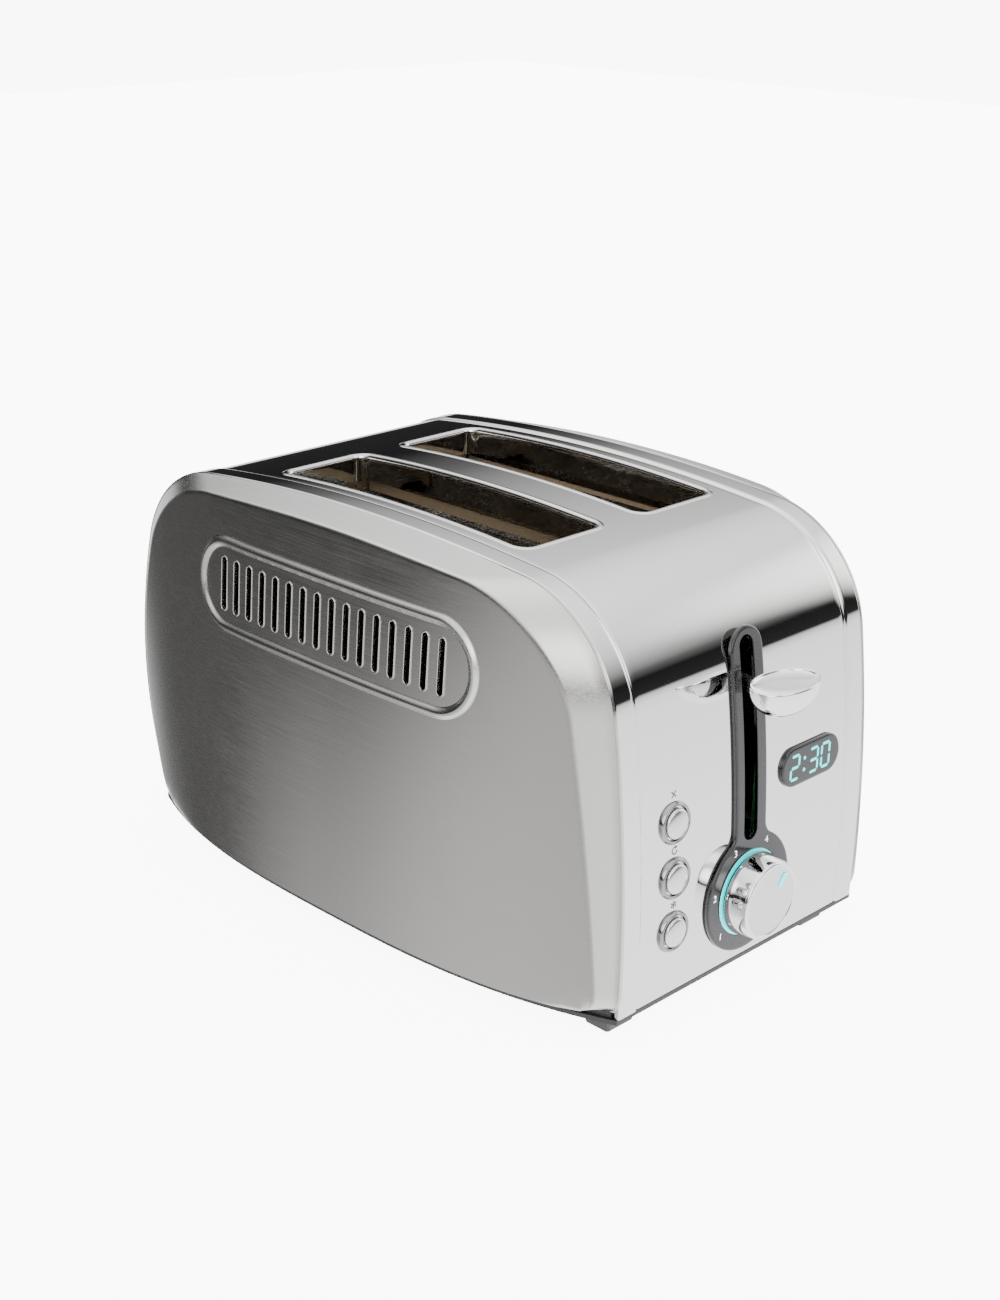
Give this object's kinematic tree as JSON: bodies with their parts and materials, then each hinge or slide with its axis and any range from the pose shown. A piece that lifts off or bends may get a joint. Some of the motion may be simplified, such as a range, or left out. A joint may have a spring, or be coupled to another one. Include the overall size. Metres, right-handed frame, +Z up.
{
  "type": "pop up toaster",
  "caption": "Pop up toaster with long bread slots, lever lift, browning dial, push buttons, small display, slide-out crumb tray and rounded brushed side pans.",
  "frame": {"origin": "centre of the footprint on the surface the toaster stands on", "axes": "+X to the right and +Y to the rear as seen from the lever end, +Z up"},
  "size_m": [0.1866, 0.3022, 0.1702],
  "materials": {
    "polished_wrap": "polished stainless steel sheet, near mirror",
    "brushed_side": "satin brushed stainless steel",
    "chrome_trim": "bright chrome plating",
    "dark_chrome": "dark smoked chrome",
    "satin_cap": "satin spun metal",
    "gloss_black": "gloss black moulding",
    "matt_black": "fine textured black moulding",
    "teal_light": "lit translucent teal",
    "inner_steel": "plated sheet steel",
    "mica": "mica board",
    "nichrome": "flat resistance ribbon",
    "board_green": "printed circuit board",
    "copper_coil": "enamelled copper winding",
    "rivet_brass": "brass rivet",
    "rod_steel": "ground steel",
    "relay_case": "blue relay case"
  },
  "bodies": {
    "housing": {"base": "matt_black", "base_screws": "rod_steel", "browning_control": "matt_black", "bulkhead_rivets": "rivet_brass", "button_board": "board_green", "cancel_ring": "dark_chrome", "carriage_spring": "rod_steel", "center_heater_board": "mica", "center_heating_wires": "nichrome", "control_bezel": "gloss_black", "defrost_ring": "dark_chrome", "dial_light_ring": "teal_light", "display_board": "board_green", "display_digits": "teal_light", "display_module": "matt_black", "display_window": "gloss_black", "front_bulkhead": "inner_steel", "front_left_foot": "matt_black", "front_right_foot": "matt_black", "guide_rods": "rod_steel", "left_heat_shield": "inner_steel", "left_heater_board": "mica", "left_heating_wires": "nichrome", "left_side_panel": "brushed_side", "magnet_coil": "copper_coil", "magnet_core": "rod_steel", "mains_gland": "matt_black", "power_board": "board_green", "power_relay": "relay_case", "rear_bulkhead": "inner_steel", "rear_left_foot": "matt_black", "rear_right_foot": "matt_black", "reheat_ring": "dark_chrome", "right_heat_shield": "inner_steel", "right_heater_board": "mica", "right_heating_wires": "nichrome", "right_side_panel": "brushed_side", "rod_bridge": "inner_steel", "tact_switches": "relay_case", "wrap_shell": "polished_wrap"},
    "tray": {"crumb_tray": "inner_steel", "tray_pull": "matt_black"},
    "browning_dial": {"browning_knob": "chrome_trim", "knob_pointer": "teal_light", "knob_shaft": "rod_steel"},
    "lever_carriage": {"lever_knob": "chrome_trim", "lever_arm": "rod_steel", "carriage": "inner_steel", "left_bread_lift": "inner_steel", "right_bread_lift": "inner_steel", "latch_plate": "inner_steel", "carriage_rivets": "rivet_brass"},
    "cancel_key": {"cancel_button": "satin_cap"},
    "reheat_key": {"reheat_button": "satin_cap"},
    "defrost_key": {"defrost_button": "satin_cap"},
    "left_inner_cage": {"left_inner_guide": "inner_steel"},
    "left_outer_cage": {"left_outer_guide": "inner_steel"},
    "right_inner_cage": {"right_inner_guide": "inner_steel"},
    "right_outer_cage": {"right_outer_guide": "inner_steel"}
  },
  "joints": [
    {"name": "lever_slide", "type": "slide", "parent": "housing", "child": "lever_carriage", "axis": [0, 0, -1], "range_m": [-0.008, 0.052], "stiffness_N_per_m": 60, "springref_m": -0.004, "deforming": ["carriage_spring"]},
    {"name": "browning_turn", "type": "hinge", "parent": "housing", "child": "browning_dial", "pos_m": [0, -0.1306, 0.037], "axis": [0, 1, 0], "range_deg": [-190, 110]},
    {"name": "cancel_press", "type": "slide", "parent": "housing", "child": "cancel_key", "axis": [0, 1, 0], "range_m": [0, 0.0018], "stiffness_N_per_m": 1200, "springref_m": -0.0006},
    {"name": "reheat_press", "type": "slide", "parent": "housing", "child": "reheat_key", "axis": [0, 1, 0], "range_m": [0, 0.0018], "stiffness_N_per_m": 1200, "springref_m": -0.0006},
    {"name": "defrost_press", "type": "slide", "parent": "housing", "child": "defrost_key", "axis": [0, 1, 0], "range_m": [0, 0.0018], "stiffness_N_per_m": 1200, "springref_m": -0.0006},
    {"name": "tray_slide", "type": "slide", "parent": "housing", "child": "tray", "axis": [0, 1, 0], "range_m": [0, 0.2]},
    {"name": "left_inner_close", "type": "slide", "parent": "housing", "child": "left_inner_cage", "axis": [-1, 0, 0], "range_m": [-0.001, 0.0055]},
    {"name": "left_outer_close", "type": "slide", "parent": "housing", "child": "left_outer_cage", "axis": [1, 0, 0], "range_m": [-0.001, 0.0055]},
    {"name": "right_inner_close", "type": "slide", "parent": "housing", "child": "right_inner_cage", "axis": [1, 0, 0], "range_m": [-0.001, 0.0055]},
    {"name": "right_outer_close", "type": "slide", "parent": "housing", "child": "right_outer_cage", "axis": [-1, 0, 0], "range_m": [-0.001, 0.0055]}
  ],
  "couplings": [
    {"joint": "left_inner_close", "follows": "lever_slide", "ratio": 0.1},
    {"joint": "left_outer_close", "follows": "lever_slide", "ratio": 0.1},
    {"joint": "right_inner_close", "follows": "lever_slide", "ratio": 0.1},
    {"joint": "right_outer_close", "follows": "lever_slide", "ratio": 0.1}
  ]
}
